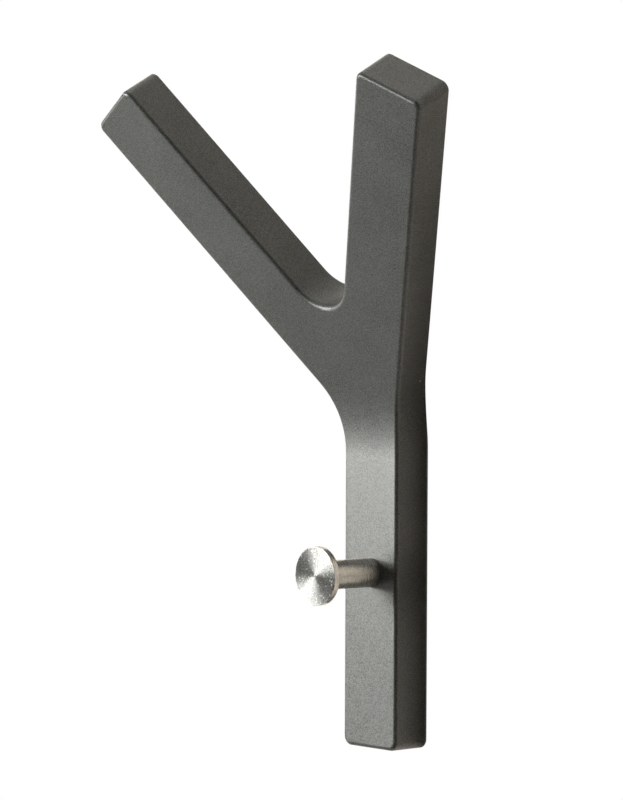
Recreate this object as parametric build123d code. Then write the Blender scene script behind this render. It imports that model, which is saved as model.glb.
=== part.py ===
from build123d import *
import os
from math import cos, radians, sin, tan

# A wall coat hook: a flat-backed stem that bends forward and forks into two arms,
# with a turned knob on its front, held by a screw from behind.
# Sizes are in millimetres and angles in degrees.
# +X is to the right seen from the room, +Y goes into the wall and +Z is up.
# The origin is the middle of the flat back, which lies against the wall.

# Bar and bend
bar_width = 21.0
bar_thickness = 12.0
flat_back_height = 82.0
lean_angle = 29.0
front_bend_radius = 55.0
back_bend_radius = 48.0

# Fork in the leaning part
splay_angle = 31.0
arm_width = 21.0
arm_length = 108.5
fork_rise = 3.2
end_skew_angle = 1.7
waist_radius = 36.0
crotch_radius = 11.0

# Corners and edges
arm_corner_radius = 2.3
foot_corner_radius = 2.6
front_edge_radius = 1.1
back_edge_radius = 0.35

# Keyholes in the back
keyhole_spacing = 50.0
keyhole_drop = 3.0
keyhole_entry_diameter = 9.0
keyhole_neck_width = 4.5
keyhole_travel = 7.0
keyhole_lip = 2.0
keyhole_depth = 5.5

# Knob
knob_drop = 43.0
knob_projection = 20.2
knob_head_diameter = 16.0
knob_head_thickness = 2.0
knob_shank_diameter = 8.0
knob_rim_break = 0.25
knob_neck_radius = 0.4

# Screw that holds the knob
screw_diameter = 4.0
screw_length = 16.0
screw_head_diameter = 7.0
screw_head_height = 4.0
screw_socket_width = 3.0
screw_socket_depth = 2.0
screw_edge_break = 0.3
screw_hole_play = 0.2
screw_head_play = 0.5
screw_head_recess = 1.0
thread_play = 0.05
thread_runout = 1.5

# What follows from them
half_turn = radians(lean_angle) / 2
back_corner_z = flat_back_height / 2 + back_bend_radius * tan(half_turn)
front_corner_z = back_corner_z - bar_thickness * tan(half_turn)
foot_z = -flat_back_height / 2
lean_length = fork_rise + arm_length + bar_width
knob_z = front_corner_z - knob_drop
counterbore_diameter = screw_head_diameter + 2 * screw_head_play
counterbore_depth = screw_head_height + screw_head_recess
through_all = 2 * (lean_length + flat_back_height)

# The leaning part's front plane, with its own x across the fork and its own y up the slope
lean_plane = Plane(
    origin=(0, -bar_thickness, front_corner_z),
    x_dir=(1, 0, 0),
    z_dir=(0, -cos(radians(lean_angle)), -sin(radians(lean_angle))),
)


def up_the_slope(corner_y, corner_z, distance):
    """A point of the side view, this far up the leaning part from a corner."""
    lean = radians(lean_angle)
    return (corner_y - distance * sin(lean), corner_z + distance * cos(lean))


def bent_bar():
    """The bar seen from the side, stem and leaning part with its rounded bend, drawn out along X."""
    back_corner = (0, back_corner_z)
    front_corner = (-bar_thickness, front_corner_z)
    outline = Polyline(
        (0, foot_z),
        back_corner,
        up_the_slope(*back_corner, lean_length),
        up_the_slope(*front_corner, lean_length),
        front_corner,
        (-bar_thickness, foot_z),
        close=True,
    )
    side = make_face(outline)
    corners = side.vertices()
    side = fillet(corners.sort_by_distance((*back_corner, 0))[0], back_bend_radius)
    front = side.vertices().sort_by_distance((*front_corner, 0))[0]
    side = fillet(front, front_bend_radius)
    return extrude(Plane.YZ * side, amount=through_all / 2, both=True)


def arm_point(along, across):
    """A point of the right arm in the leaning plane, along its centre line and outwards across it."""
    splay = radians(splay_angle)
    return (
        along * sin(splay) + across * cos(splay),
        fork_rise + along * cos(splay) - across * sin(splay),
    )


def fork_outline():
    """The Y in the leaning plane, its stem run on downwards past the foot."""
    splay = radians(splay_angle)
    half_bar = bar_width / 2
    half_arm = arm_width / 2
    skew = half_arm * tan(radians(end_skew_angle))
    waist_y = fork_rise + (half_bar - half_arm / cos(splay)) / tan(splay)
    waist = (half_bar, waist_y)
    outer_end = arm_point(arm_length + skew, half_arm)
    inner_end = arm_point(arm_length - skew, -half_arm)
    crotch = (0, fork_rise + half_arm / sin(splay))
    foot = (half_bar, -through_all / 2)
    right = [foot, waist, outer_end, inner_end]
    left = [(-x, y) for x, y in reversed(right)]
    face = make_face(Polyline(*right, crotch, *left, close=True))
    ends = [outer_end, inner_end, left[0], left[1]]
    for corner, radius in (
        [(waist, waist_radius), (left[2], waist_radius), (crotch, crotch_radius)]
        + [(end, arm_corner_radius) for end in ends]
    ):
        vertex = face.vertices().sort_by_distance((*corner, 0))[0]
        face = fillet(vertex, radius)
    return face


def rim_edges(solid, side):
    """The outer edges of the broad faces that look this way along Y: -1 is the front and 1 the back."""
    broad = [
        face
        for face in solid.faces()
        if abs(face.normal_at().X) < 0.01 and side * face.normal_at().Y > 0.8
    ]
    edges = [edge for face in broad for edge in face.edges()]
    return [edge for edge in edges if sum(edge.is_same(other) for other in edges) == 1]


def hook_blank():
    """The forked bar with its corners and edges rounded."""
    fork = extrude(lean_plane * fork_outline(), amount=through_all / 2, both=True)
    blank = bent_bar() & fork
    foot = blank.edges().filter_by(Axis.Y).group_by(Axis.Z)[0]
    blank = fillet(foot, foot_corner_radius)
    blank = fillet(rim_edges(blank, -1), front_edge_radius)
    return fillet(rim_edges(blank, 1), back_edge_radius)


def from_back(shape, depth):
    """A cutter for the flat back: this shape, seen from the wall, sunk forwards by depth."""
    wall_plane = Plane(origin=(0, 0, 0), x_dir=(1, 0, 0), z_dir=(0, -1, 0))
    return extrude(wall_plane * shape, amount=depth)


def keyhole(entry_z):
    """A round entry for a screw head, a narrow neck above it, and room for the head behind the neck."""
    room = SlotCenterToCenter(keyhole_travel, keyhole_entry_diameter, rotation=90)
    neck = SlotCenterToCenter(keyhole_travel, keyhole_neck_width, rotation=90)
    middle = Pos(0, entry_z + keyhole_travel / 2)
    entry = Pos(0, entry_z) * Circle(keyhole_entry_diameter / 2)
    behind = from_back(middle * room, keyhole_depth) - from_back(middle * room, keyhole_lip)
    return behind + from_back(entry + middle * neck, keyhole_lip)


def screw_passage():
    """The counterbore in the back and the clearance hole through to the knob's seat."""
    seat = Pos(0, knob_z)
    head_room = from_back(seat * Circle(counterbore_diameter / 2), counterbore_depth)
    clearance = Circle(screw_diameter / 2 + screw_hole_play)
    return head_room + from_back(seat * clearance, bar_thickness)


def hook_body():
    """The cast and coated hook, with its two keyholes and the passage for the knob's screw."""
    upper = keyhole(keyhole_spacing / 2 - keyhole_drop)
    lower = keyhole(-keyhole_spacing / 2 - keyhole_drop)
    return hook_blank() - upper - lower - screw_passage()


def forwards(start_y):
    """A plane at the knob's height that looks out of the wall, this far from it."""
    return Plane(origin=(0, start_y, knob_z), x_dir=(1, 0, 0), z_dir=(0, -1, 0))


def knob():
    """The turned knob: a shank with a flat round head, tapped from behind."""
    shank_length = knob_projection - knob_head_thickness
    engaged = screw_length - (bar_thickness - counterbore_depth)
    shank = extrude(Circle(knob_shank_diameter / 2), amount=shank_length)
    head = extrude(Circle(knob_head_diameter / 2), amount=knob_head_thickness)
    head = chamfer(head.edges(), knob_rim_break)
    turned = shank + Pos(0, 0, shank_length) * head
    neck = (
        turned.edges()
        .filter_by(GeomType.CIRCLE)
        .filter_by(lambda edge: abs(edge.radius - knob_shank_diameter / 2) < 1e-6)
        .sort_by(Axis.Z)[-1]
    )
    turned = fillet(neck, knob_neck_radius)
    tapped = extrude(Circle(screw_diameter / 2 + thread_play), amount=engaged + thread_runout)
    return forwards(-bar_thickness) * (turned - tapped)


def knob_screw():
    """The socket cap screw that pulls the knob onto the stem from behind."""
    head = extrude(Circle(screw_head_diameter / 2), amount=screw_head_height)
    head = chamfer(head.edges().sort_by(Axis.Z)[0], screw_edge_break)
    socket_radius = screw_socket_width / 2 / cos(radians(30))
    socket = extrude(RegularPolygon(socket_radius, 6), amount=screw_socket_depth)
    shank = extrude(Circle(screw_diameter / 2), amount=screw_length)
    shank = chamfer(shank.edges().sort_by(Axis.Z)[-1], screw_edge_break)
    screw = head - socket + Pos(0, 0, screw_head_height) * shank
    return forwards(-screw_head_recess) * screw


parts = {
    "hook_body": hook_body,
    "knob": knob,
    "knob_screw": knob_screw,
}

os.makedirs("parts", exist_ok=True)
for name, build in parts.items():
    export_step(build(), f"parts/{name}.step")
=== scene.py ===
"""A wall coat hook dressed for its portrait: a coated forked body, a turned knob and its screw.

Lengths are in millimetres and angles in degrees until a mesh or a matrix is made, where
lengths become metres. +X is to the right seen from the room, +Y goes into the wall and +Z is
up. The origin is the middle of the flat back.
"""

import logging
from dataclasses import dataclass, field
from enum import Enum
from math import cos, pi, radians, sin, tan
from typing import Any

import bmesh
import bpy
import numpy as np
from mathutils import Matrix, Vector


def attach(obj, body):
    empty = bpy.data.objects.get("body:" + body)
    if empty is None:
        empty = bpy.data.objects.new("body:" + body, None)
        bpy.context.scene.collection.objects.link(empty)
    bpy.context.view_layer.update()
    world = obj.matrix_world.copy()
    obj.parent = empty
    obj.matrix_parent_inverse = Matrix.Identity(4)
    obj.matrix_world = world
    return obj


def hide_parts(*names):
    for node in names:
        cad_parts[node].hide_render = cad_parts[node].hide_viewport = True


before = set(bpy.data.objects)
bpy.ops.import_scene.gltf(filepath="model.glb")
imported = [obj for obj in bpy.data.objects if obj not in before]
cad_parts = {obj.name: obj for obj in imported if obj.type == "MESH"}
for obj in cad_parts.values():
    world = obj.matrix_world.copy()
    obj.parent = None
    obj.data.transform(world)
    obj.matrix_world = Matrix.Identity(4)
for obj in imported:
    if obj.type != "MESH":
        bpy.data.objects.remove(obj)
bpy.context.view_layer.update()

MM = 0.001
BODY = "root"
log = logging.getLogger("coat_hook")

# The mesh attribute and the map that the finishes read
RIM = "rim"
CHART = "chart"
CHART_LENGTH = 100.0

# Millimetres: far from every worn edge, and how near points are to be sewn together
FAR_FROM_RIM = 20.0
SEAM_REACH = 0.002

# The body's grid: rings round an opening, and the rows down the side with their gap to the arcs
RING_STEPS = 4
WALL_MARGIN = 0.12
WALL_STEPS = 6
BACK_EDGE_STEPS = 5

# The watts that give a square metre of lamp the brightness of white paper in plain light
LAMP_WATTS = pi

Colour = tuple[float, float, float, float]


class Slot(Enum):
    """The finishes that the pieces name."""

    COATED_BODY = "coated_body"
    TURNED_STEEL = "turned_steel"
    PLATED_SCREW = "plated_screw"


# Meshes


def facing(angle: float) -> np.ndarray:
    """The flat unit vector at an angle in degrees, as (across, up)."""
    return np.array([cos(radians(angle)), sin(radians(angle))])


def arc(radius: float, start: float, end: float, steps: int) -> np.ndarray:
    """An arc about (0, 0) between two angles in degrees: the radius times the cosine and sine."""
    angle = np.radians(np.linspace(start, end, steps + 1))
    return radius * np.column_stack((np.cos(angle), np.sin(angle)))


def between(start: Any, end: Any, count: int) -> np.ndarray:
    """A straight run from start to end: start plus an evenly growing share of the way.

    Args:
        start: The first row of values.
        end: The last row of values.
        count: How many rows follow the first one.

    Returns:
        The rows after the first, as an array of count rows.
    """
    share = np.linspace(0.0, 1.0, count + 1)[1:, None]
    return np.asarray(start, float) * (1 - share) + np.asarray(end, float) * share


def rounded_corner(
    corner: np.ndarray,
    before: float,
    after: float,
    radius: float,
    count: int,
    hollow: bool = False,
    stop: float | None = None,
) -> np.ndarray:
    """A corner between two straight edges, turned into an arc.

    The centre lies on the line that halves the corner, at the radius over one plus the product
    of both edges' outward directions. A point is the centre plus the radius times its outward
    direction, or minus that in a hollow corner.

    Args:
        corner: Where the two edges would meet.
        before: The angle that the outside of the first edge faces.
        after: The angle that the outside of the second edge faces.
        radius: The arc's radius.
        count: How many steps the arc has.
        hollow: Whether the corner goes into the material.
        stop: The facing angle where the run ends, if that isn't the second edge's.

    Returns:
        Rows of across, up, and the outward direction's across and up.
    """
    first, second = facing(before), facing(after)
    side = -1.0 if hollow else 1.0
    centre = corner - side * radius * (first + second) / (1 + first @ second)
    outward = arc(1.0, before, after if stop is None else stop, count)
    return np.hstack((centre + side * radius * outward, outward))


def in_scene(name: str, data: bpy.types.ID) -> bpy.types.Object:
    """A new object with this data, in the scene."""
    added = bpy.data.objects.new(name, data)
    bpy.context.scene.collection.objects.link(added)
    return added


class Skin:
    """Grids of surface that are sewn into one closed mesh."""

    def __init__(self, name: str) -> None:
        """Starts an empty skin under the name of its piece."""
        self.name = name
        self.points: list[np.ndarray] = []
        self.faces: list[np.ndarray] = []
        self.rims: list[np.ndarray] = []
        self.charts: list[np.ndarray] = []
        self.total = 0

    def add(
        self,
        points: np.ndarray,
        rim: np.ndarray | None = None,
        chart: np.ndarray | None = None,
        turned: bool = False,
    ) -> None:
        """Adds a grid: each face joins a point to the next one along both parameters.

        Args:
            points: Rows by columns by three, in millimetres.
            rim: Each point's distance from the nearest worn edge, in millimetres.
            chart: Each point's flat coordinates, for patterns that follow the surface.
            turned: Whether the faces run the other way round.
        """
        rows, columns = points.shape[:2]
        index = self.total + np.arange(rows * columns).reshape(rows, columns)
        quads = np.stack((index[:-1, :-1], index[1:, :-1], index[1:, 1:], index[:-1, 1:]), axis=-1)
        quads = quads.reshape(-1, 4)
        self.faces.append(quads[:, ::-1] if turned else quads)
        self.points.append(points.reshape(-1, 3))
        far = np.full((rows, columns), FAR_FROM_RIM)
        self.rims.append((far if rim is None else np.broadcast_to(rim, (rows, columns))).ravel())
        flat = np.zeros((rows, columns, 2)) if chart is None else chart
        self.charts.append(flat.reshape(-1, 2))
        self.total += rows * columns

    def add_mirrored(
        self, points: np.ndarray, rim: np.ndarray | None = None, turned: bool = False
    ) -> None:
        """Adds a grid of the right half, and the same grid with across turned to minus across."""
        self.add(points, rim, turned=turned)
        self.add(points * (-1.0, 1.0, 1.0), rim, turned=not turned)

    def sew(self, sharp_angle: float, closed: bool = True) -> bpy.types.Object:
        """Joins the grids where their points meet and makes the object.

        Args:
            sharp_angle: The turn between two faces, in degrees, from which their edge is sharp.
            closed: Whether the mesh has an inside, so that its faces can be turned outwards.

        Returns:
            The object, at the origin, with its place in its mesh.
        """
        points = np.concatenate(self.points) * MM
        faces = np.concatenate(self.faces)
        mesh = bpy.data.meshes.new(self.name)
        mesh.from_pydata(points.tolist(), [], faces.tolist())
        mesh.attributes.new(RIM, "FLOAT", "POINT").data.foreach_set("value", np.concatenate(self.rims))
        chart = np.concatenate(self.charts)[faces.ravel()]
        mesh.uv_layers.new(name=CHART).data.foreach_set("uv", chart.ravel())
        sewn = bmesh.new()
        sewn.from_mesh(mesh)
        bmesh.ops.remove_doubles(sewn, verts=sewn.verts, dist=SEAM_REACH * MM)
        bmesh.ops.dissolve_degenerate(sewn, edges=sewn.edges, dist=SEAM_REACH * MM)
        if closed:
            bmesh.ops.recalc_face_normals(sewn, faces=sewn.faces)
        sewn.to_mesh(mesh)
        open_edges = sum(not edge.is_manifold for edge in sewn.edges)
        sewn.free()
        mesh.shade_smooth()
        mesh.set_sharp_from_angle(angle=radians(sharp_angle))
        piece = in_scene(self.name, mesh)
        log.info("%s: %d faces, %d open edges", self.name, len(mesh.polygons), open_edges)
        return piece


# The body


@dataclass
class BentBar:
    """The bar seen from the side: a flat stem, a rounded bend and a part that leans out."""

    width: float = 21.0
    thickness: float = 12.0
    flat_back_height: float = 82.0
    lean_angle: float = 29.0
    front_bend_radius: float = 42.0
    back_bend_radius: float = 48.0

    @property
    def foot(self) -> float:
        """The height of the lower end."""
        return -self.flat_back_height / 2

    @property
    def half_turn(self) -> float:
        """The tangent of half the lean, which places both corners of the bend."""
        return tan(radians(self.lean_angle) / 2)

    @property
    def front_corner(self) -> float:
        """The height where the stem's front and the leaning front would meet."""
        return self.flat_back_height / 2 + (self.back_bend_radius - self.thickness) * self.half_turn

    def up_from_height(self, height: np.ndarray | float) -> np.ndarray | float:
        """How far up the leaning plane a height on the stem's front shows, seen squarely to it."""
        return (height - self.front_corner) * cos(radians(self.lean_angle))

    def place(self, across: np.ndarray, up: np.ndarray, depth: np.ndarray) -> np.ndarray:
        """Points at a depth in the bar, looked for squarely to the leaning front.

        A layer at one depth is a line up the stem, an arc and a line up the slope. The arc's radius
        goes evenly from the front one to the back one. From the arc's centre a point lies some way
        along the slope and some reach behind it: the radius on the slope, the square root of the
        radius squared less the way squared on the arc, and below it whatever meets the stem.

        Args:
            across: Distance from the middle plane.
            up: Distance up the leaning plane from the front corner.
            depth: Distance behind the front surface.

        Returns:
            The points, with the shape of the arguments and a last axis of three.
        """
        lean = radians(self.lean_angle)
        across, up, depth = np.broadcast_arrays(across, up, depth)
        share = depth / self.thickness
        radius = self.front_bend_radius * (1 - share) + self.back_bend_radius * share
        centre_y = depth - self.thickness - radius
        centre_z = self.front_corner + (depth - radius) * self.half_turn
        way = up - (radius - depth) * self.half_turn
        on_arc = np.sqrt(np.maximum(radius**2 - np.minimum(way, 0.0) ** 2, 0.0))
        on_stem = (radius + way * sin(lean)) / cos(lean)
        reach = np.where(way < -radius * sin(lean), on_stem, on_arc)
        y = centre_y - way * sin(lean) + reach * cos(lean)
        z = centre_z + way * cos(lean) + reach * sin(lean)
        return np.stack((across, y, z), axis=-1)


@dataclass
class Keyhole:
    """An undercut keyhole in the back: a round entry, a narrow neck above it and room behind."""

    entry_height: float
    entry_diameter: float = 9.0
    neck_width: float = 4.5
    travel: float = 7.0
    lip: float = 2.0
    depth: float = 5.5
    edge_break: float = 0.2
    room_below: float = 7.0
    room_above: float = 14.0
    arc_steps: int = 14
    shoulder_steps: int = 7
    neck_steps: int = 4

    @property
    def levels(self) -> tuple[float, float]:
        """The heights between which the back's grid makes way for the keyhole."""
        return self.entry_height - self.room_below, self.entry_height + self.room_above

    def half_outline(
        self, low: np.ndarray, top_radius: float, side_steps: int, steps: int
    ) -> np.ndarray:
        """The right half of an outline: its low part, a side up to the travel and a quarter arc.

        Args:
            low: The low part's rows, about the middle of the entry.
            top_radius: The radius of the quarter arc at the top.
            side_steps: How many steps the side has.
            steps: How many steps the whole half has.

        Returns:
            Rows of across and height.
        """
        top_steps = steps - side_steps - len(low) + 1
        side = between(low[-1], (top_radius, self.travel), side_steps)
        high = arc(top_radius, 0, 90, top_steps)[1:] + (0.0, self.travel)
        return np.concatenate((low, side, high)) + (0.0, self.entry_height)

    def mouth(self, steps: int, grow: float = 0.0) -> np.ndarray:
        """The right half of the opening, from its lowest to its highest point.

        It is a quarter arc of the entry, the arc on to the neck, the neck's side and a quarter arc
        of the neck's end, each with its own number of steps, so that it pairs with the room.

        Args:
            steps: How many steps the whole half has.
            grow: How much wider the opening is all round.

        Returns:
            Rows of across and height.
        """
        entry = self.entry_diameter / 2 + grow
        neck = self.neck_width / 2 + grow
        shoulder = np.degrees(np.arccos(neck / entry))
        below = arc(entry, -90, 0, self.arc_steps)
        low = np.concatenate((below, arc(entry, 0, shoulder, self.shoulder_steps)[1:]))
        return self.half_outline(low, neck, self.neck_steps, steps)

    def room(self, steps: int) -> np.ndarray:
        """The right half of the space behind the lip, step for step with the mouth.

        It is a quarter arc, a straight side as long as the travel, and a quarter arc, all at the
        entry's radius.

        Args:
            steps: How many steps the whole half has.

        Returns:
            Rows of across and height.
        """
        radius = self.entry_diameter / 2
        low = arc(radius, -90, 0, self.arc_steps)
        return self.half_outline(low, radius, self.shoulder_steps + self.neck_steps, steps)

    def rings(self, steps: int) -> list[tuple[np.ndarray, float]]:
        """The half outlines that line the keyhole, each with its depth behind the back."""
        room = self.room(steps)
        mouth = self.mouth(steps)
        middle = room * (0.0, 1.0)
        return [
            (self.mouth(steps, self.edge_break), 0.0),
            (mouth, self.edge_break),
            (mouth, self.lip - self.edge_break),
            (mouth, self.lip),
            (room, self.lip),
            (room, self.depth),
            ((room + middle) / 2, self.depth),
            (middle, self.depth),
        ]


@dataclass
class ScrewPassage:
    """The counterbore in the back and the clearance hole through to the knob's seat."""

    height: float
    counterbore_diameter: float = 8.0
    counterbore_depth: float = 5.0
    hole_diameter: float = 4.4
    through: float = 12.0
    edge_break: float = 0.2
    room: float = 6.0

    @property
    def levels(self) -> tuple[float, float]:
        """The heights between which the grids make way for the passage."""
        return self.height - self.room, self.height + self.room

    def circle(self, radius: float, steps: int) -> np.ndarray:
        """The right half of a circle about the passage: radius times the angle's cosine and sine."""
        return arc(radius, -90, 90, steps) + (0.0, self.height)

    def rings(self, steps: int) -> list[tuple[np.ndarray, float]]:
        """The half outlines that line the passage, each with its depth behind the back."""
        wide = self.counterbore_diameter / 2
        narrow = self.hole_diameter / 2
        return [
            (self.circle(wide + self.edge_break, steps), 0.0),
            (self.circle(wide, steps), self.edge_break),
            (self.circle(wide, steps), self.counterbore_depth),
            (self.circle(narrow, steps), self.counterbore_depth),
            (self.circle(narrow, steps), self.through),
        ]


@dataclass
class HookBody:
    """The cast body: the bent bar, forked into two arms, with its openings in the back."""

    bar: BentBar = field(default_factory=BentBar)
    splay_angle: float = 31.0
    arm_width: float = 21.0
    arm_length: float = 108.5
    fork_rise: float = 3.2
    end_skew_angle: float = 1.7
    waist_radius: float = 36.0
    crotch_radius: float = 11.0
    arm_corner_radius: float = 2.3
    foot_corner_radius: float = 2.6
    front_edge_radius: float = 1.1
    crotch_edge_swell: float = 0.8
    back_edge_radius: float = 0.35
    keyhole_spacing: float = 50.0
    keyhole_drop: float = 3.0
    knob_drop: float = 43.0
    level_step: float = 1.0
    corner_steps: int = 10
    waist_steps: int = 26
    middle_steps: int = 8
    crotch_steps: int = 16
    arm_steps: int = 44
    ease_steps: int = 8
    centre_rise: float = 20.0
    columns: tuple[float, ...] = (0.0, 0.02, 0.08, 0.22, 0.4, 0.6, 0.78, 0.92, 0.98, 1.0)

    def __post_init__(self) -> None:
        """Works out the openings from the sizes."""
        half = self.keyhole_spacing / 2
        self.lower = Keyhole(-half - self.keyhole_drop)
        self.upper = Keyhole(half - self.keyhole_drop)
        self.passage = ScrewPassage(self.bar.front_corner - self.knob_drop, through=self.bar.thickness)
        stem_rows = self.corner_steps + len(self.heights()) + self.ease_steps - 1
        self.crotch_row = stem_rows + self.waist_steps + self.middle_steps

    def arm_point(self, along: float, across: float) -> np.ndarray:
        """A point of the right arm, along its centre line and outwards across it."""
        splay = radians(self.splay_angle)
        return np.array(
            [
                along * sin(splay) + across * cos(splay),
                self.fork_rise + along * cos(splay) - across * sin(splay),
            ]
        )

    def heights(self) -> np.ndarray:
        """The heights of the stem's rows, from above the foot's corner to above the upper keyhole."""
        marks = [
            self.bar.foot + self.foot_corner_radius,
            *self.lower.levels,
            *self.passage.levels,
            *self.upper.levels,
        ]
        runs = [marks[:1]]
        for low, high in zip(marks[:-1], marks[1:]):
            count = max(1, round((high - low) / self.level_step))
            runs.append(low + (high - low) * np.arange(1, count + 1) / count)
        return np.concatenate(runs)

    def stem_rows(self) -> tuple[np.ndarray, np.ndarray]:
        """The outer and middle rows of the stem, from the foot to where the waist begins.

        A row is across, up, drop, and the outward direction's across and up. Drop is how much the
        row sinks down the slope for each millimetre of depth: on the stem it keeps a row level, and
        it eases to nothing where the outline starts to turn.

        Returns:
            The outer rows and the middle rows, as many of each.
        """
        half, bar = self.bar.width / 2, self.bar
        level = sin(radians(bar.lean_angle))
        flat = cos(radians(bar.lean_angle))

        def rows(*columns: Any) -> np.ndarray:
            """Rows of these columns, where a number stands for a whole column of it."""
            return np.column_stack(np.broadcast_arrays(*columns))

        corner = np.array([half, bar.foot])
        arc_rows = rounded_corner(corner, -90, 0, self.foot_corner_radius, self.corner_steps)
        across, height, out_across, out_up = arc_rows.T
        foot = rows(across, bar.up_from_height(height), level, out_across, out_up * flat)
        stem = rows(half, bar.up_from_height(self.heights()[1:]), level, 1.0, 0.0)
        share = np.linspace(0.0, 1.0, self.ease_steps + 1)[1:-1]
        start = stem[-1, 1]
        up = start + (self.waist_start() - start) * share
        ease = rows(half, up, level * (1 - share), 1.0, 0.0)
        outer = np.concatenate((foot, stem, ease))
        return outer, outer * (0.0, 1.0, 1.0, 0.0, 1.0)

    def waist_corner(self) -> np.ndarray:
        """Where the stem's side and the right arm's outer side would meet."""
        splay = radians(self.splay_angle)
        half, arm = self.bar.width / 2, self.arm_width / 2
        return np.array([half, self.fork_rise + (half - arm / cos(splay)) / tan(splay)])

    def waist_start(self) -> float:
        """How far up the slope the waist's arc begins."""
        return self.waist_corner()[1] - self.waist_radius * tan(radians(self.splay_angle) / 2)

    def fork_rows(self) -> tuple[np.ndarray, np.ndarray]:
        """The outer and inner rows of the right arm, from the waist to the arm's end.

        The outer rows follow the waist's arc, the arm's outer side and the arc at its end. The
        inner rows go up the middle to the crotch, then along its arc, the arm's inner side and the
        arc at its end. The last outer and the last inner row both lie on the arm's end. A row has
        a drop of nothing put in between its place and its outward direction.

        Returns:
            The outer rows and the inner rows, as many of each.
        """
        splay, half = self.splay_angle, self.arm_width / 2
        skew = half * tan(radians(self.end_skew_angle))
        end_facing = 90 - splay + self.end_skew_angle
        waist = rounded_corner(
            self.waist_corner(), 0, -splay, self.waist_radius, self.waist_steps, hollow=True
        )
        crotch = rounded_corner(
            np.array([0.0, self.fork_rise + half / sin(radians(splay))]),
            180 - splay,
            splay,
            self.crotch_radius,
            self.crotch_steps,
            hollow=True,
            stop=90,
        )[::-1]
        outer_end, inner_end = (
            rounded_corner(
                self.arm_point(self.arm_length + side * skew, side * half),
                before,
                after,
                self.arm_corner_radius,
                self.corner_steps,
            )[::side]
            for side, before, after in ((1, -splay, end_facing), (-1, end_facing, 180 - splay))
        )
        root_along = self.along(crotch[-1, :2])
        root = np.concatenate((self.arm_point(root_along, half), facing(-splay)))
        outer = np.concatenate(
            (
                waist,
                between(waist[-1], root, self.middle_steps + self.crotch_steps),
                between(root, outer_end[0], self.arm_steps),
                outer_end[1:],
            )
        )
        waist_row = np.array([0.0, waist[0, 1], 0.0, 0.0])
        middle_row = np.array([0.0, self.centre_rise, 0.0, 0.0])
        before_crotch = crotch[0] * (1.0, 1.0, 0.0, 0.0) - (0.0, self.crotch_edge_swell, 0.0, 0.0)
        inner = np.concatenate(
            (
                waist_row[None],
                between(waist_row, middle_row, self.waist_steps),
                between(middle_row, before_crotch, self.middle_steps)[:-1],
                crotch,
                between(crotch[-1], inner_end[0], self.arm_steps),
                inner_end[1:],
            )
        )
        return np.insert(outer, 2, 0.0, axis=1), np.insert(inner, 2, 0.0, axis=1)

    def along(self, point: np.ndarray) -> float:
        """How far along the arm's centre line a point of the leaning plane lies."""
        splay = radians(self.splay_angle)
        return point[0] * sin(splay) + (point[1] - self.fork_rise) * cos(splay)

    @staticmethod
    def inset(rows: np.ndarray, distance: float | np.ndarray) -> np.ndarray:
        """Rows moved inwards: across and up less the distance times the outward direction."""
        moved = rows.copy()
        moved[..., :2] -= np.reshape(distance, (-1, 1)) * rows[..., 3:5]
        return moved

    def front_radii(self, count: int) -> np.ndarray:
        """The front rim's radius at each inner row.

        Over the crotch it swells by the swell times half of one plus a cosine, which is nothing
        where the crotch's arc meets the arm's straight side.

        Args:
            count: How many inner rows there are.

        Returns:
            One radius for each row.
        """
        way = (np.arange(count) - self.crotch_row) / self.crotch_steps
        swell = np.where((way >= 0) & (way <= 1), (1 + np.cos(pi * way)) / 2, 0.0)
        return self.front_edge_radius + self.crotch_edge_swell * swell

    def on_bar(self, rows: np.ndarray, depth: Any) -> np.ndarray:
        """The points of rows at a depth, where drop times depth is taken off the way up."""
        return self.bar.place(rows[..., 0], rows[..., 1] - rows[..., 2] * depth, depth)

    def rulings(self, outer: np.ndarray, inner: np.ndarray, back: bool) -> np.ndarray:
        """Straight lines from each inset inner row to its outer one, cut at the columns."""
        share = np.array(self.columns)[None, :, None]
        distance = self.back_edge_radius if back else self.front_edge_radius
        low = self.inset(inner, distance if back else self.front_radii(len(inner)))[:, None, :]
        high = self.inset(outer, distance)[:, None, :]
        return low * (1 - share) + high * share

    def rim_distance(self, lines: np.ndarray) -> np.ndarray:
        """How far each point of the rulings lies from the nearer rim, along its ruling."""
        length = np.linalg.norm((lines[:, -1] - lines[:, 0])[:, :2], axis=1)[:, None]
        share = np.array(self.columns)[None, :]
        on_inner_rim = np.arange(len(lines))[:, None] >= self.crotch_row
        inner_way = np.where(on_inner_rim, share * length, FAR_FROM_RIM)
        return np.minimum((1 - share) * length, inner_way)

    def frame_path(self, lines: np.ndarray, first: int, last: int) -> np.ndarray:
        """The way round a gap in the rulings: along the first, up the outer side and back."""
        return np.concatenate((lines[first], lines[first + 1 : last, -1], lines[last, ::-1]))

    def band(self, levels: tuple[float, float]) -> tuple[int, int]:
        """The numbers of the rows at the two heights that bound an opening."""
        heights = self.heights()
        first, last = (int(np.argmin(np.abs(heights - level))) for level in levels)
        return first + self.corner_steps, last + self.corner_steps

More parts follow.
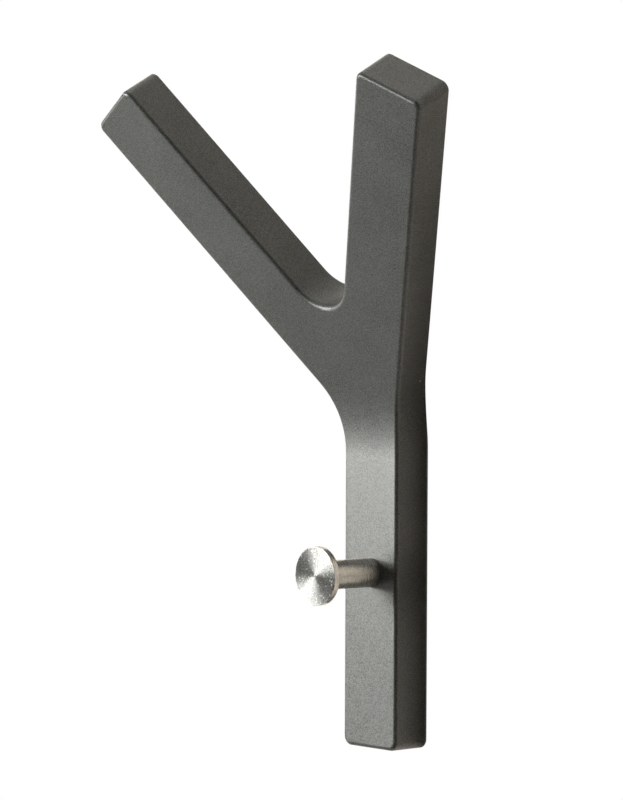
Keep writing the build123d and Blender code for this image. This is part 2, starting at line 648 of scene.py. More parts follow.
    def face(self, skin: Skin, outer: np.ndarray, inner: np.ndarray, back: bool) -> None:
        """Adds the front or the back: rulings, with gaps filled by rings around the openings.

        Args:
            skin: The skin that takes the grids.
            outer: The outer rows, from the foot to the arm's end.
            inner: The inner rows, as many.
            back: Whether this is the back, which has the keyholes too.
        """
        depth = self.bar.thickness if back else 0.0
        lines = self.rulings(outer, inner, back)
        points = self.on_bar(lines, depth)
        rim = self.rim_distance(lines)
        openings = [self.lower, self.passage, self.upper] if back else [self.passage]
        start = 0
        for opening in openings:
            first, last = self.band(opening.levels)
            if first > start:
                skin.add_mirrored(points[start : first + 1], rim[start : first + 1], turned=back)
            border = self.frame_path(points, first, last)
            steps = len(border) - 1
            if back:
                mouth = opening.rings(steps)[0][0]
                self.lining(skin, opening.rings(steps))
            else:
                mouth = opening.rings(steps)[-1][0]
            edge = np.insert(mouth, 1, border[0, 1], axis=1)
            share = np.linspace(0.0, 1.0, RING_STEPS + 1)[:, None, None]
            skin.add_mirrored(border[None] * (1 - share) + edge[None] * share, turned=not back)
            start = last
        skin.add_mirrored(points[start:], rim[start:], turned=back)

    def lining(self, skin: Skin, rings: list[tuple[np.ndarray, float]]) -> None:
        """Adds the walls of an opening: straight from each ring to the next."""
        grid = [np.insert(ring, 1, -depth, axis=1) for ring, depth in rings]
        skin.add_mirrored(np.stack(grid))

    def rim_profile(self, front: float) -> np.ndarray:
        """The side's section as rows of inset and depth: quarter arc, wall and quarter arc."""
        back, thickness = self.back_edge_radius, self.bar.thickness
        turn = np.linspace(0.0, pi / 2, self.corner_steps + 1)
        low = np.column_stack((front * (1 - np.sin(turn)), front * (1 - np.cos(turn))))
        wall_start, wall_end = front + WALL_MARGIN, thickness - back - WALL_MARGIN
        wall = np.linspace(wall_start, wall_end, WALL_STEPS + 1)
        turn = np.linspace(0.0, pi / 2, BACK_EDGE_STEPS + 1)
        high = np.column_stack((back * (1 - np.cos(turn)), thickness - back * (1 - np.sin(turn))))
        return np.concatenate((low, np.column_stack((np.zeros(len(wall)), wall)), high))

    def side(self, skin: Skin, outer: np.ndarray, inner: np.ndarray) -> None:
        """Adds the sides: the rim's section carried round the outline of the right half.

        Args:
            skin: The skin that takes the grid.
            outer: The outer rows, from the foot to the arm's end.
            inner: The inner rows, of which those on the rim are used.
        """
        share = np.array(self.columns)[:, None]
        foot_middle = outer[0] * (0.0, 1.0, 1.0, 1.0, 1.0)
        foot = foot_middle * (1 - share) + outer[0] * share
        end = outer[-1] * (1 - share) + inner[-1] * share
        inside = inner[self.crotch_row :][::-1]
        loop = np.concatenate((foot[:-1], outer, end[1:-1], inside))
        radii = np.full(len(loop), self.front_edge_radius)
        radii[-len(inside) :] = self.front_radii(len(inner))[self.crotch_row :][::-1]
        profiles = np.stack([self.rim_profile(radius) for radius in radii])
        rows = np.repeat(loop[:, None, :], profiles.shape[1], axis=1)
        rows[..., :2] -= profiles[..., :1] * loop[:, None, 3:5]
        depth = profiles[..., 1]
        front = np.maximum(depth - radii[:, None], 0.0)
        rear = np.maximum(self.bar.thickness - self.back_edge_radius - depth, 0.0)
        skin.add_mirrored(self.on_bar(rows, depth), np.minimum(front, rear), turned=True)

    def build(self) -> bpy.types.Object:
        """Builds the body as one closed mesh of its right half and the mirrored one."""
        stem_outer, stem_inner = self.stem_rows()
        fork_outer, fork_inner = self.fork_rows()
        outer = np.concatenate((stem_outer, fork_outer))
        inner = np.concatenate((stem_inner, fork_inner))
        skin = Skin("coated_fork")
        self.face(skin, outer, inner, back=False)
        self.face(skin, outer, inner, back=True)
        self.side(skin, outer, inner)
        return skin.sew(sharp_angle=50)

    def dress(self, piece: bpy.types.Object) -> None:
        """Gives the body its coat and its place in the table."""
        piece.data.materials.append(PowderCoat().material())
        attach(piece, BODY)
        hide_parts("hook_body")


# Turned pieces


def eased(start: tuple[float, float], end: tuple[float, float], count: int) -> np.ndarray:
    """A straight run with small steps at both ends: the share is half of one less a cosine.

    Args:
        start: The first point, which isn't repeated.
        end: The last point.
        count: How many points follow the first one.

    Returns:
        The points after the first, as rows of radius and reach.
    """
    share = (1 - np.cos(np.linspace(0.0, pi, count + 1)[1:, None])) / 2
    return np.array(start, float) * (1 - share) + np.array(end, float) * share


@dataclass
class Lathe:
    """A section turned about a line that comes straight out of the wall."""

    height: float
    steps: int = 192

    @property
    def angles(self) -> np.ndarray:
        """The angles of the columns, once round, with the first one repeated at the end."""
        return np.linspace(0.0, 2 * pi, self.steps + 1)

    def surface(self, radius: np.ndarray, reach: np.ndarray) -> np.ndarray:
        """The turned grid: radius times the sine across, minus the reach, radius times the cosine up."""
        across = radius * np.sin(self.angles)
        up = self.height + radius * np.cos(self.angles)
        return np.stack(np.broadcast_arrays(across, -reach, up), axis=-1)

    def chart(self, section: np.ndarray) -> np.ndarray:
        """The share of a turn and the way along the section, in hundreds of millimetres."""
        way = np.concatenate(([0.0], np.cumsum(np.linalg.norm(np.diff(section, axis=0), axis=1))))
        turn = self.angles / (2 * pi)
        return np.stack(np.broadcast_arrays(turn[None, :], way[:, None] / CHART_LENGTH), axis=-1)


@dataclass
class Knob:
    """The turned knob: a shank with a flat round head, tapped from behind for its screw."""

    height: float
    seat: float = 12.0
    projection: float = 20.2
    head_diameter: float = 16.0
    head_thickness: float = 2.0
    shank_diameter: float = 8.0
    rim_break: float = 0.25
    neck_radius: float = 0.4
    bore_diameter: float = 4.1
    bore_depth: float = 10.5
    arc_steps: int = 6
    face_steps: int = 24
    shank_steps: int = 20

    def section(self) -> np.ndarray:
        """The half section from the bore's end, round the seat, shank and head, to the face's middle."""
        head, shank, bore = self.head_diameter / 2, self.shank_diameter / 2, self.bore_diameter / 2
        edge, neck = self.rim_break, self.neck_radius
        back = self.projection - self.head_thickness
        parts = [np.array([(0.0, self.bore_depth)])]

        def straight_to(radius: float, reach: float, steps: int) -> None:
            """Adds a straight run from the last point."""
            parts.append(eased(tuple(parts[-1][-1]), (radius, reach), steps))

        def round_about(
            centre: tuple[float, float], radius: float, start: float, end: float
        ) -> None:
            """Adds an arc about a centre, which starts at the last point."""
            parts.append(arc(radius, start, end, self.arc_steps)[1:] + centre)

        straight_to(bore, self.bore_depth, self.arc_steps)
        straight_to(bore, 0.0, self.arc_steps)
        straight_to(shank, 0.0, self.arc_steps)
        straight_to(shank, back - neck, self.shank_steps)
        round_about((shank + neck, back - neck), neck, 180, 90)
        straight_to(head - edge, back, self.arc_steps)
        round_about((head - edge, back + edge), edge, -90, 0)
        straight_to(head, self.projection - edge, self.arc_steps)
        round_about((head - edge, self.projection - edge), edge, 0, 90)
        straight_to(0.0, self.projection, self.face_steps)
        return np.concatenate(parts)

    def rim_distance(self, section: np.ndarray) -> np.ndarray:
        """How far each point of the section lies from the head's front edge."""
        edge = (self.head_diameter / 2, self.projection)
        return np.linalg.norm(section - edge, axis=1)

    def build(self) -> bpy.types.Object:
        """Builds the knob as one closed turned mesh."""
        section = self.section()
        lathe = Lathe(self.height)
        points = lathe.surface(section[:, :1], self.seat + section[:, 1:])
        skin = Skin("turned_knob")
        skin.add(points, self.rim_distance(section)[:, None], lathe.chart(section))
        return skin.sew(sharp_angle=40)

    def dress(self, piece: bpy.types.Object) -> None:
        """Gives the knob its finish and its place in the table."""
        piece.data.materials.append(TurnedSteel().material())
        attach(piece, BODY)
        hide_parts("knob")


@dataclass
class KnobScrew:
    """The socket cap screw behind the knob, with its knurled head and rolled thread."""

    height: float
    recess: float = 1.0
    length: float = 16.0
    diameter: float = 4.0
    head_diameter: float = 7.0
    head_height: float = 4.0
    socket_width: float = 3.0
    socket_depth: float = 2.0
    edge_break: float = 0.3
    pitch: float = 0.7
    thread_depth: float = 0.38
    plain_length: float = 1.0
    tip_length: float = 0.6
    knurl_depth: float = 0.06
    knurl_count: int = 48
    rows_per_turn: int = 10
    steps: int = 144
    flank_slope: float = 1.25
    crest_width: float = 0.12
    rounded_share: float = 0.3

    def hexagon(self, angles: np.ndarray) -> np.ndarray:
        """The socket's radius at each angle: half its width over the cosine from the nearest flat."""
        from_flat = np.mod(angles + pi / 6, pi / 3) - pi / 6
        return self.socket_width / 2 / np.cos(from_flat)

    def head(self, lathe: Lathe) -> tuple[np.ndarray, np.ndarray]:
        """The head's radius and reach: the socket's floor and walls, the top, the knurled side.

        Each row has one reach and a radius for each angle. The socket's rows follow the hexagon,
        and the side's rows lose the knurls' depth times half of one less a cosine.

        Args:
            lathe: The lathe that gives the angles.

        Returns:
            Rows of radii, and a column of reaches.
        """
        hexagon = self.hexagon(lathe.angles)
        knurl = self.knurl_depth * (1 - np.cos(self.knurl_count * lathe.angles)) / 2
        outside = self.head_diameter / 2
        top, floor = self.recess, self.recess + self.socket_depth
        chamfer, rounded = self.edge_break, self.rounded_share * self.edge_break
        seat = self.recess + self.head_height
        rows = [
            (0.0, floor),
            (hexagon / 2, floor),
            (hexagon, floor),
            (hexagon, top + chamfer / 2),
            (hexagon + chamfer / 2, top),
            (outside - chamfer, top),
            (outside - rounded, top + rounded),
            (outside, top + chamfer),
            (outside - knurl, top + 2 * chamfer),
            (outside - knurl, seat - chamfer),
            (outside, seat - chamfer / 2),
            (outside - chamfer / 4, seat),
        ]
        radii = [np.broadcast_to(radius, lathe.angles.shape) for radius, _ in rows]
        return np.stack(radii), np.array([[reach] for _, reach in rows])

    def shank(self, lathe: Lathe) -> tuple[np.ndarray, np.ndarray]:
        """The shank's radius and reach: a plain neck, a rolled thread and a coned tip.

        The thread's phase is the way over the pitch less the share of a turn. The groove is the
        thread's depth times a triangle wave of the phase, cut flat at both ends, and it fades in
        over the first turn.

        Args:
            lathe: The lathe that gives the angles.

        Returns:
            Rows of radii, and a column of reaches.
        """
        seat = self.recess + self.head_height
        start, end = seat + self.plain_length, seat + self.length
        count = int(round((end - start) / self.pitch * self.rows_per_turn))
        reach = np.linspace(start, end, count + 1)[:, None]
        phase = (reach - start) / self.pitch - lathe.angles / (2 * pi)
        wave = np.abs(np.mod(phase, 1.0) - 0.5) * 2
        groove = np.clip(self.flank_slope * wave - self.crest_width, 0.0, 1.0)
        fade = np.clip((reach - start) / self.pitch, 0.0, 1.0)
        outside = self.diameter / 2
        cone = np.clip((reach - (end - self.tip_length)) / self.tip_length, 0.0, 1.0)
        radius = outside - self.thread_depth * np.maximum(groove * fade, cone)
        neck = np.full((2, len(lathe.angles)), outside)
        tip = np.zeros((1, len(lathe.angles)))
        neck_reach = np.array([[seat], [seat + self.plain_length / 2]])
        return np.concatenate((neck, radius, tip)), np.concatenate((neck_reach, reach, [[end]]))

    def build(self) -> bpy.types.Object:
        """Builds the screw as one closed mesh from the socket's floor to the tip."""
        lathe = Lathe(self.height, steps=self.steps)
        head_radius, head_reach = self.head(lathe)
        shank_radius, shank_reach = self.shank(lathe)
        radius = np.concatenate((head_radius, shank_radius))
        reach = np.concatenate((head_reach, shank_reach))
        section = np.column_stack((radius[:, 0], reach[:, 0]))
        edge = np.linalg.norm(section - (self.head_diameter / 2, self.recess), axis=1)
        skin = Skin("socket_screw")
        skin.add(lathe.surface(radius, reach), edge[:, None], lathe.chart(section))
        return skin.sew(sharp_angle=35)

    def dress(self, piece: bpy.types.Object) -> None:
        """Gives the screw its finish and its place in the table."""
        piece.data.materials.append(PlatedSteel().material())
        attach(piece, BODY)
        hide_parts("knob_screw")


# Finishes

# What a noise keeps to, the steepness of wear, the streaks' length and the scuffs' patches
NOISE_RANGE = (0.3, 0.7)
WEAR_STEEPNESS = 12.0
STREAK_LINES = 20.0
PATCHES_PER_CURL = 0.7


class Wiring:
    """Adds nodes to a tree and joins their sockets."""

    def __init__(self, tree: bpy.types.NodeTree) -> None:
        """Takes the tree that the nodes go into."""
        self.tree = tree

    def feed(self, node: bpy.types.Node, inputs: dict[Any, Any]) -> None:
        """Joins each named input to the socket given for it, or sets it to the value given."""
        for name, value in inputs.items():
            if isinstance(value, bpy.types.NodeSocket):
                self.tree.links.new(value, node.inputs[name])
            else:
                node.inputs[name].default_value = value

    def add(
        self, kind: str, inputs: dict[Any, Any] | None = None, **settings: Any
    ) -> bpy.types.Node:
        """Adds a node, sets its own settings, and sets or joins its inputs.

        Args:
            kind: The node's type, without the words that every shader node's type starts with.
            inputs: For each input's name or number, the socket that feeds it or its value.
            settings: The node's own settings.

        Returns:
            The node.
        """
        node = self.tree.nodes.new(f"ShaderNode{kind}")
        for name, value in settings.items():
            setattr(node, name, value)
        self.feed(node, inputs or {})
        return node

    def math(self, operation: str, *values: Any, clamp: bool = False) -> bpy.types.NodeSocket:
        """The result of a sum on sockets or numbers."""
        node = self.add("Math", dict(enumerate(values)), operation=operation, use_clamp=clamp)
        return node.outputs[0]

    def either(self, *values: Any) -> bpy.types.NodeSocket:
        """The highest of several masks."""
        highest = values[0]
        for value in values[1:]:
            highest = self.math("MAXIMUM", highest, value)
        return highest

    def weighed(self, first: Any, second: Any, share: float) -> bpy.types.NodeSocket:
        """The sum of two values, where the second has this share and the first has the rest."""
        rest = self.math("MULTIPLY", first, 1 - share)
        return self.math("ADD", rest, self.math("MULTIPLY", second, share))

    def ramp(
        self, value: Any, low: float, high: float, start: float = 0.0, end: float = 1.0
    ) -> bpy.types.NodeSocket:
        """A value's smooth way from start, where it is low, to end, where it is high."""
        inputs = {
            "Value": value, "From Min": low, "From Max": high, "To Min": start, "To Max": end
        }
        return self.add("MapRange", inputs, interpolation_type="SMOOTHSTEP").outputs[0]

    def swing(self, value: Any, middle: float, spread: float) -> bpy.types.NodeSocket:
        """A share's smooth way from half the spread below the middle to half above it."""
        return self.ramp(value, 0.0, 1.0, middle - spread / 2, middle + spread / 2)

    def fuller(self, noise: Any) -> bpy.types.NodeSocket:
        """A noise drawn out, so that it goes nearly all the way from nothing to one."""
        return self.ramp(noise, *NOISE_RANGE)

    def blend(self, share: Any, first: Any, second: Any) -> bpy.types.NodeSocket:
        """The mix of two colours."""
        node = self.add("Mix", {0: share, 6: first, 7: second}, data_type="RGBA")
        return node.outputs[2]

    def noise(
        self, place: Any, scale: Any, detail: float, roughness: float = 0.5, bend: float = 0.0
    ) -> bpy.types.NodeSocket:
        """Noise at a place: so many waves to the metre, with finer ones in it."""
        inputs = {
            "Vector": place, "Scale": scale, "Detail": detail, "Roughness": roughness,
            "Distortion": bend,
        }
        return self.add("TexNoise", inputs).outputs[0]

    def bump(self, height: Any, strength: float, distance: float) -> bpy.types.NodeSocket:
        """The normal of a surface with this height on it."""
        inputs = {"Strength": strength, "Distance": distance, "Height": height}
        return self.add("Bump", inputs).outputs[0]

    def effect(self, effect: "Effect", inputs: dict[str, Any]) -> bpy.types.NodeOutputs:
        """Places a shared effect and gives its outputs."""
        node = self.add("Group", node_tree=effect.tree())
        self.feed(node, inputs)
        return node.outputs

    def wear(
        self, place: Any, width: float, spots: float, threshold: float
    ) -> bpy.types.NodeSocket:
        """The mask of the worn edges."""
        rim = self.add("Attribute", attribute_name=RIM).outputs["Fac"]
        inputs = {
            "Rim": rim, "Place": place, "Width": width, "Spots": spots, "Threshold": threshold
        }
        return self.effect(Effect.WEAR, inputs)["Mask"]


class SharedGroup(Wiring):
    """A new node group with named sockets, and the wiring inside it."""

    def __init__(
        self, effect: "Effect", inputs: dict[str, float | None], outputs: tuple[str, ...]
    ) -> None:
        """Makes the group and its sockets.

        Args:
            effect: The effect that the group is for.
            inputs: For each input its first value, or nothing where it takes a vector.
            outputs: The names of the outputs, which are all numbers.
        """
        super().__init__(bpy.data.node_groups.new(effect.value, "ShaderNodeTree"))
        for title, value in inputs.items():
            kind = "NodeSocketVector" if value is None else "NodeSocketFloat"
            socket = self.tree.interface.new_socket(name=title, in_out="INPUT", socket_type=kind)
            if value is not None:
                socket.default_value = value
        for title in outputs:
            self.tree.interface.new_socket(
                name=title, in_out="OUTPUT", socket_type="NodeSocketFloat"
            )
        self.given = self.tree.nodes.new("NodeGroupInput").outputs
        self.result = self.tree.nodes.new("NodeGroupOutput")


class Effect(Enum):
    """The node groups that the finishes share."""

    GRAIN = "fine_grain"
    WEAR = "edge_wear"
    SPECKS = "dust_specks"
    TURNING = "turning_marks"
    SCUFFS = "fine_scuffs"

    def tree(self) -> bpy.types.NodeTree:
        """The effect's group, which is built when it is first asked for."""
        found = bpy.data.node_groups.get(self.value)
        return found or EFFECT_MAKERS[self]().tree


def make_grain() -> SharedGroup:
    """Grain: fine noise at one size, slow clouds at another, and the fine noise's height."""
    inputs = {"Place": None, "Grains": 4000.0, "Clouds": 60.0}
    group = SharedGroup(Effect.GRAIN, inputs, ("Shade", "Cloud", "Height"))
    given = group.given
    fine = group.noise(given["Place"], given["Grains"], detail=2.0, roughness=0.6)
    slow = group.noise(given["Place"], given["Clouds"], detail=3.0, roughness=0.55)
    results = {"Shade": group.fuller(fine), "Cloud": group.fuller(slow), "Height": fine}
    group.feed(group.result, results)
    return group


def make_wear() -> SharedGroup:
    """Wear: strongest on the rim, gone at its width, and broken up by noise."""
    inputs = {"Rim": 1.0, "Place": None, "Width": 0.5, "Spots": 500.0, "Threshold": 0.6}
    group = SharedGroup(Effect.WEAR, inputs, ("Mask",))
    given = group.given
    way = group.math("DIVIDE", given["Rim"], given["Width"])
    near = group.math("SUBTRACT", 1.0, way, clamp=True)
    spots = group.noise(given["Place"], given["Spots"], detail=4.0, roughness=0.65)
    over = group.math("SUBTRACT", spots, given["Threshold"])
    bare = group.math("MULTIPLY", over, WEAR_STEEPNESS, clamp=True)
    group.feed(group.result, {"Mask": group.math("MULTIPLY", near, bare)})
    return group


def make_specks() -> SharedGroup:
    """Specks: small round spots about a few of the points of a cell pattern."""
    inputs = {"Place": None, "Cells": 120.0, "Size": 0.03, "Rarity": 0.9}
    group = SharedGroup(Effect.SPECKS, inputs, ("Mask",))
    given = group.given
    cells = group.add("TexVoronoi", {"Vector": given["Place"], "Scale": given["Cells"]}).outputs
    inside = group.math("LESS_THAN", cells["Distance"], given["Size"])
    chance = group.add("SeparateColor", {"Color": cells["Color"]}).outputs[0]
    chosen = group.math("GREATER_THAN", chance, given["Rarity"])
    group.feed(group.result, {"Mask": group.math("MULTIPLY", inside, chosen)})
    return group


def make_turning() -> SharedGroup:
    """Turning marks: noise that is long round the turn and fine along the section.

    The noise is read on a tube: the turn's cosine and sine, times the streaks for the wide marks,
    and the way along the section, times the lines for the fine ones.
    """
    inputs = {"Chart": None, "Lines": 900.0, "Streaks": 7.0}
    group = SharedGroup(Effect.TURNING, inputs, ("Shade", "Streak", "Height"))
    given = group.given
    turn, way = group.add("SeparateXYZ", {0: given["Chart"]}).outputs[:2]
    turn = group.math("MULTIPLY", turn, 2 * pi)

    def on_tube(radius: Any, lines: Any) -> bpy.types.NodeSocket:
        """The place on a tube of this radius, with so many lines along it."""
        across = group.math("MULTIPLY", group.math("COSINE", turn), radius)
        up = group.math("MULTIPLY", group.math("SINE", turn), radius)
        along = group.math("MULTIPLY", way, lines)
        return group.add("CombineXYZ", {0: across, 1: up, 2: along}).outputs[0]

    rings = group.noise(on_tube(1.0, given["Lines"]), 1.0, detail=3.0)
    streaks = group.noise(on_tube(given["Streaks"], STREAK_LINES), 1.0, detail=4.0)
    results = {"Shade": group.fuller(rings), "Streak": group.fuller(streaks), "Height": rings}
    group.feed(group.result, results)
    return group


def make_scuffs() -> SharedGroup:
    """Scuffs: thin curled lines where a noise crosses its middle, kept where another is high."""
    inputs = {"Place": None, "Curls": 300.0, "Width": 0.012, "Share": 0.55}
    group = SharedGroup(Effect.SCUFFS, inputs, ("Mask",))
    given = group.given
    curls = group.noise(given["Place"], given["Curls"], detail=1.0, bend=0.6)
    apart = group.math("ABSOLUTE", group.math("SUBTRACT", curls, 0.5))
    way = group.math("DIVIDE", apart, given["Width"])
    line = group.math("SUBTRACT", 1.0, way, clamp=True)
    size = group.math("MULTIPLY", given["Curls"], PATCHES_PER_CURL)
    patches = group.noise(given["Place"], size, detail=2.0)
    patch = group.math("GREATER_THAN", patches, given["Share"])
    group.feed(group.result, {"Mask": group.math("MULTIPLY", line, patch)})
    return group


EFFECT_MAKERS = {
    Effect.GRAIN: make_grain,
    Effect.WEAR: make_wear,
    Effect.SPECKS: make_specks,
    Effect.TURNING: make_turning,
    Effect.SCUFFS: make_scuffs,
}


def new_material(name: str) -> tuple[bpy.types.Material, Wiring, bpy.types.Node]:
    """A material with its main shader joined to its output, and the wiring of its tree."""
    material = bpy.data.materials.new(name)
    material.use_nodes = True
    return material, Wiring(material.node_tree), material.node_tree.nodes["Principled BSDF"]


@dataclass(frozen=True)
class PowderCoat:
    """A satin graphite powder coat with a fine grain and hardly worn edges."""

    dark: Colour = (0.010, 0.0106, 0.0102, 1.0)
    pale: Colour = (0.073, 0.0765, 0.0745, 1.0)
    worn: Colour = (0.2, 0.2, 0.195, 1.0)
    dust: Colour = (0.75, 0.75, 0.73, 1.0)
    grains: float = 3700.0
    clouds: float = 55.0
    cloud_share: float = 0.25
    wear_width: float = 0.35
    wear_spots: float = 500.0
    wear_threshold: float = 0.69
    dust_cells: float = 140.0
    dust_size: float = 0.03
    roughness: float = 0.44
    roughness_spread: float = 0.12
    bump: float = 0.8
    bump_distance: float = 0.00005
    specular: float = 0.58
    glaze: float = 0.5
    glaze_spread: float = 0.42
    glaze_range: tuple[float, float] = (0.1, 0.9)
    glaze_index: float = 1.5

    def material(self) -> bpy.types.Material:
        """Builds the coat: grain and clouds in colour and gloss, wear on the rim, sparse dust."""
        material, wire, shader = new_material(Slot.COATED_BODY.value)
        place = wire.add("TexCoord").outputs["Object"]
        grain = wire.effect(
            Effect.GRAIN, {"Place": place, "Grains": self.grains, "Clouds": self.clouds}
        )
        wear = wire.wear(place, self.wear_width, self.wear_spots, self.wear_threshold)
        dust = wire.effect(
            Effect.SPECKS, {"Place": place, "Cells": self.dust_cells, "Size": self.dust_size}
        )["Mask"]
        shade = wire.weighed(grain["Shade"], grain["Cloud"], self.cloud_share)
        coat = wire.blend(wear, wire.blend(shade, self.dark, self.pale), self.worn)
        weakest, strongest = self.glaze - self.glaze_spread, self.glaze + self.glaze_spread
        inputs = {
            "Base Color": wire.blend(dust, coat, self.dust),
            "Roughness": wire.swing(grain["Shade"], self.roughness, self.roughness_spread),
            "Normal": wire.bump(grain["Height"], self.bump, self.bump_distance),
            "Specular IOR Level": self.specular,
            "Coat Weight": wire.ramp(grain["Shade"], *self.glaze_range, weakest, strongest),
            "Coat Roughness": self.roughness,
            "Coat IOR": self.glaze_index,
        }
        wire.feed(shader, inputs)
        return material


@dataclass(frozen=True)
class TurnedSteel:
    """Turned stainless steel: rings round the axis that spread its highlights across them.

    The head's face is darker and duller than the shank, and is mottled, scuffed and specked.
    """

    dark: Colour = (0.50, 0.478, 0.45, 1.0)
    pale: Colour = (0.78, 0.745, 0.70, 1.0)
    face_dark: Colour = (0.05, 0.0495, 0.049, 1.0)
    face_pale: Colour = (0.39, 0.388, 0.387, 1.0)
    bright: Colour = (0.80, 0.79, 0.77, 1.0)
    face_start: float = -31.85
    face_end: float = -32.1
    lines: float = 900.0
    streaks: float = 9.0
    streak_share: float = 0.4
    mottle: float = 2300.0
    shank_mottle_share: float = 0.25
    face_mottle_share: float = 0.75
    wear_width: float = 0.45
    wear_spots: float = 900.0
    wear_threshold: float = 0.45
    scuff_curls: float = 320.0
    scuff_width: float = 0.009
    scuff_share: float = 0.56
    speck_cells: float = 1300.0
    speck_size: float = 0.28
    speck_rarity: float = 0.72
    roughness: float = 0.4
    shank_roughness: float = 0.27
    roughness_spread: float = 0.06
    rough_patches: float = 0.35
    anisotropy: float = 1.0
    quarter_turn: float = 0.25
    bump: float = 0.25
    bump_distance: float = 0.00001

    def scratches(self, wire: Wiring, place: Any) -> bpy.types.NodeSocket:
        """The mask of the scuffs and specks."""
        curls, width, share = self.scuff_curls, self.scuff_width, self.scuff_share
        scuffs = wire.effect(
            Effect.SCUFFS, {"Place": place, "Curls": curls, "Width": width, "Share": share}
        )
        cells, size, rarity = self.speck_cells, self.speck_size, self.speck_rarity
        specks = wire.effect(
            Effect.SPECKS, {"Place": place, "Cells": cells, "Size": size, "Rarity": rarity}
        )
        return wire.either(scuffs["Mask"], specks["Mask"])

    def material(self) -> bpy.types.Material:
        """Builds the steel: turning marks in colour, gloss and height, and the head's own face."""
        material, wire, shader = new_material(Slot.TURNED_STEEL.value)
        coordinates = wire.add("TexCoord").outputs
        place = coordinates["Object"]
        reach = wire.add("SeparateXYZ", {0: place}).outputs[1]
        face = wire.ramp(reach, self.face_start * MM, self.face_end * MM)
        chart = {"Chart": coordinates["UV"], "Lines": self.lines, "Streaks": self.streaks}
        marks = wire.effect(Effect.TURNING, chart)
        turned = wire.weighed(marks["Shade"], marks["Streak"], self.streak_share)
        mottle = wire.effect(Effect.GRAIN, {"Place": place, "Grains": self.mottle})["Shade"]
        share = wire.ramp(face, 0.0, 1.0, self.shank_mottle_share, self.face_mottle_share)
        coarse = wire.math("MULTIPLY", wire.math("SUBTRACT", mottle, turned), share)
        shade = wire.math("ADD", turned, coarse)
        on_shank = wire.blend(shade, self.dark, self.pale)
        on_face = wire.blend(shade, self.face_dark, self.face_pale)
        scratched = wire.math("MULTIPLY", self.scratches(wire, place), face)
        wear = wire.wear(place, self.wear_width, self.wear_spots, self.wear_threshold)
        plain = wire.ramp(face, 0.0, 1.0, self.shank_roughness, self.roughness)
        even = wire.math("ADD", plain, wire.swing(marks["Shade"], 0.0, self.roughness_spread))
        patches = wire.math("MULTIPLY", scratched, self.rough_patches)
        steel = wire.blend(face, on_shank, on_face)
        inputs = {
            "Base Color": wire.blend(wire.either(wear, scratched), steel, self.bright),
            "Metallic": 1.0,
            "Roughness": wire.math("ADD", even, patches),
            "Anisotropic": self.anisotropy,
            "Anisotropic Rotation": self.quarter_turn,
            "Normal": wire.bump(marks["Height"], self.bump, self.bump_distance),
            "Tangent": wire.add("Tangent", direction_type="UV_MAP", uv_map=CHART).outputs[0],
        }
        wire.feed(shader, inputs)
        return material


@dataclass(frozen=True)
class PlatedSteel:
    """Zinc-plated steel, a little cloudy, with fine marks from rolling."""

    dark: Colour = (0.42, 0.43, 0.45, 1.0)
    pale: Colour = (0.66, 0.67, 0.68, 1.0)
    bright: Colour = (0.8, 0.8, 0.8, 1.0)
    clouds: float = 400.0
    lines: float = 700.0
    mark_share: float = 0.4
    wear_width: float = 0.5
    wear_spots: float = 900.0
    wear_threshold: float = 0.5
    roughness: float = 0.32
    roughness_spread: float = 0.16
    bump: float = 0.2
    bump_distance: float = 0.00001

    def material(self) -> bpy.types.Material:
        """Builds the plating: clouds and fine marks in colour and gloss, bright worn edges."""
        material, wire, shader = new_material(Slot.PLATED_SCREW.value)
        coordinates = wire.add("TexCoord").outputs
        place = coordinates["Object"]
        cloud = wire.effect(Effect.GRAIN, {"Place": place, "Clouds": self.clouds})["Cloud"]
        marks = wire.effect(Effect.TURNING, {"Chart": coordinates["UV"], "Lines": self.lines})
        wear = wire.wear(place, self.wear_width, self.wear_spots, self.wear_threshold)
        shade = wire.weighed(cloud, marks["Shade"], self.mark_share)
        plating = wire.blend(shade, self.dark, self.pale)
        inputs = {
            "Base Color": wire.blend(wear, plating, self.bright),
            "Metallic": 1.0,
            "Roughness": wire.swing(cloud, self.roughness, self.roughness_spread),
            "Normal": wire.bump(marks["Height"], self.bump, self.bump_distance),
        }
        wire.feed(shader, inputs)
        return material


# The studio


def bearing(azimuth: float, elevation: float) -> np.ndarray:
    """The way out to a place about the hook: azimuth from the front towards +X, elevation up."""
    turn, rise = radians(azimuth), radians(elevation)
    return np.array([sin(turn) * cos(rise), -cos(turn) * cos(rise), sin(rise)])


def facing_from(
    aim: tuple[float, float, float], azimuth: float, elevation: float, distance: float, roll: float
) -> Matrix:
    """Where something stands, and how it is turned, when it looks at an aim from a bearing.

    Args:
        aim: The point that it looks at.
        azimuth: The bearing's turn from the front towards +X.
        elevation: The bearing's rise.
        distance: How far from the aim it stands.
        roll: How far it is rolled, anticlockwise as it looks.

    Returns:
        The matrix, in metres.
    """
    way = bearing(azimuth, elevation)
    place = (np.array(aim) + distance * way) * MM
    look = Vector(-way).to_track_quat("-Z", "Y").to_matrix().to_4x4()
    return Matrix.Translation(Vector(place)) @ look @ Matrix.Rotation(radians(roll), 4, "Z")


